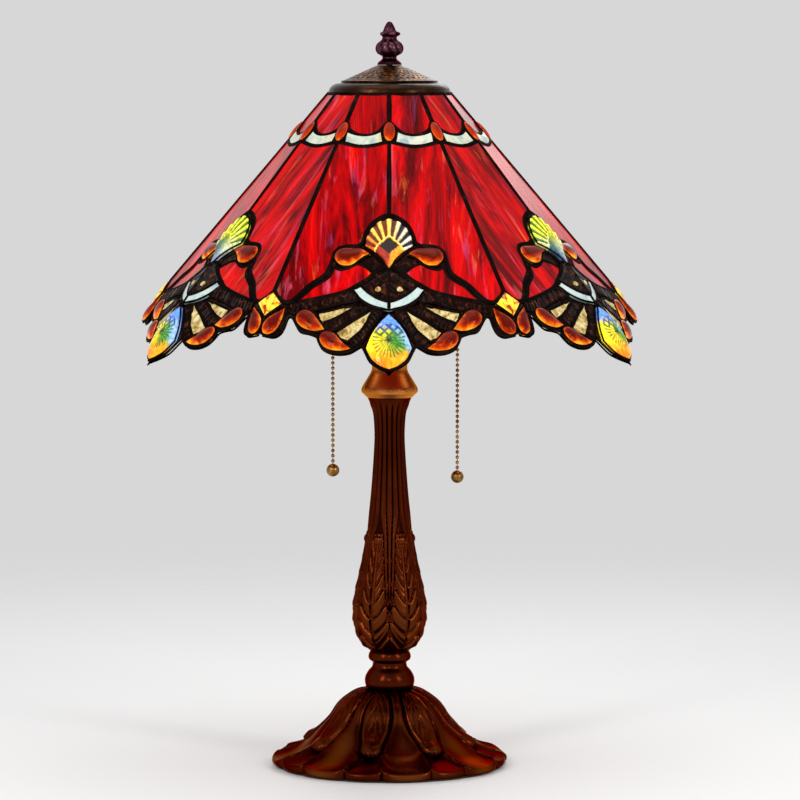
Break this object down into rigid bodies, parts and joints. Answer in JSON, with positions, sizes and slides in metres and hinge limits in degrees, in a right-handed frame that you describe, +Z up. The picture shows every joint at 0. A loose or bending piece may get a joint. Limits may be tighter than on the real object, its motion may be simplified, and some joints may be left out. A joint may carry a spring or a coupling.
{
  "type": "table lamp",
  "caption": "Leaded-glass table lamp: conical red art-glass shade with jewelled scalloped border, cast column, scalloped foot and two bead pull chains.",
  "frame": {"origin": "centre of the felt pad's underside, on the surface the lamp stands on", "axes": "+Z up the stem, -Y towards the viewer, +X to the viewer's right; a border jewel hangs at -Y"},
  "size_m": [0.4052, 0.4416, 0.6],
  "materials": {
    "bronze": "dark mahogany-brown cast bronze finish with copper highlights",
    "copper": "glossy copper finish on cast metal",
    "antique": "antique bronze, worn",
    "plum_bronze": "dark plum bronze",
    "brass": "antique brass",
    "steel": "zinc-plated steel",
    "lead": "solder with a near-black patina",
    "red_glass": "streaky red art glass",
    "border_glass": "cast amber, dark ribbed and faceted art glass",
    "bulb_glass": "frosted glass",
    "phenolic": "moulded phenolic",
    "black_plastic": "moulded bushing",
    "lead_rubber": "two-core lead",
    "felt": "dark felt"
  },
  "bodies": {
    "stem": {"foot_casting": "bronze", "cord_bushing": "black_plastic", "felt_pad": "felt", "lower_knop": "bronze", "column": "bronze", "neck_collar": "copper", "stem_pipe": "steel", "foot_nut": "brass", "cluster_body": "brass", "holder_shell_left": "brass", "holder_shell_right": "brass", "holder_core_left": "phenolic", "holder_core_right": "phenolic", "riser_rod": "steel", "shade_seat": "brass", "inner_lead": "lead_rubber"},
    "shade": {"shade_leading": "lead", "shade_spider": "brass", "heat_cap": "antique", "crown_pane_01": "red_glass", "crown_pane_02": "red_glass", "crown_pane_03": "red_glass", "crown_pane_04": "red_glass", "crown_pane_05": "red_glass", "crown_pane_06": "red_glass", "crown_pane_07": "red_glass", "crown_pane_08": "red_glass", "crown_pane_09": "red_glass", "crown_pane_10": "red_glass", "crown_pane_11": "red_glass", "crown_pane_12": "red_glass", "main_pane_01": "red_glass", "main_pane_02": "red_glass", "main_pane_03": "red_glass", "main_pane_04": "red_glass", "main_pane_05": "red_glass", "main_pane_06": "red_glass", "main_pane_07": "red_glass", "main_pane_08": "red_glass", "main_pane_09": "red_glass", "main_pane_10": "red_glass", "main_pane_11": "red_glass", "main_pane_12": "red_glass", "border_motif_1": "border_glass", "border_motif_2": "border_glass", "border_motif_3": "border_glass", "border_motif_4": "border_glass", "border_motif_5": "border_glass", "border_motif_6": "border_glass"},
    "finial": {"finial": "plum_bronze"},
    "bulb_left": {"bulb_glass_left": "bulb_glass", "bulb_base_left": "steel"},
    "bulb_right": {"bulb_glass_right": "bulb_glass", "bulb_base_right": "steel"},
    "pull_left": {"chain_top_left": "brass"},
    "pull_right": {"chain_top_right": "brass"},
    "drop_left": {"chain_left": "brass", "chain_ball_left": "brass"},
    "drop_right": {"chain_right": "brass", "chain_ball_right": "brass"}
  },
  "joints": [
    {"name": "shade_turn", "type": "hinge", "parent": "stem", "child": "shade", "pos_m": [0, 0, 0.54], "axis": [0, 0, 1], "continuous": true},
    {"name": "finial_turn", "type": "hinge", "parent": "stem", "child": "finial", "pos_m": [0, 0, 0.57], "axis": [0, 0, 1], "continuous": true},
    {"name": "bulb_turn_left", "type": "hinge", "parent": "stem", "child": "bulb_left", "pos_m": [-0.05196, 0, 0.382], "axis": [-0.866, 0, 0.5], "continuous": true},
    {"name": "bulb_turn_right", "type": "hinge", "parent": "stem", "child": "bulb_right", "pos_m": [0.05196, 0, 0.382], "axis": [0.866, 0, 0.5], "continuous": true},
    {"name": "pull_left", "type": "slide", "parent": "stem", "child": "pull_left", "axis": [0, 0, -1], "range_m": [0, 0.008], "stiffness_N_per_m": 250, "springref_m": -0.004},
    {"name": "swing_left", "type": "hinge", "parent": "pull_left", "child": "drop_left", "pos_m": [-0.04529, -0.02707, 0.35485], "axis": [1, 0, 0], "range_deg": [-35, 35]},
    {"name": "pull_right", "type": "slide", "parent": "stem", "child": "pull_right", "axis": [0, 0, -1], "range_m": [0, 0.008], "stiffness_N_per_m": 250, "springref_m": -0.004},
    {"name": "swing_right", "type": "hinge", "parent": "pull_right", "child": "drop_right", "pos_m": [0.0546, 0, 0.33874], "axis": [1, 0, 0], "range_deg": [-35, 35]}
  ]
}
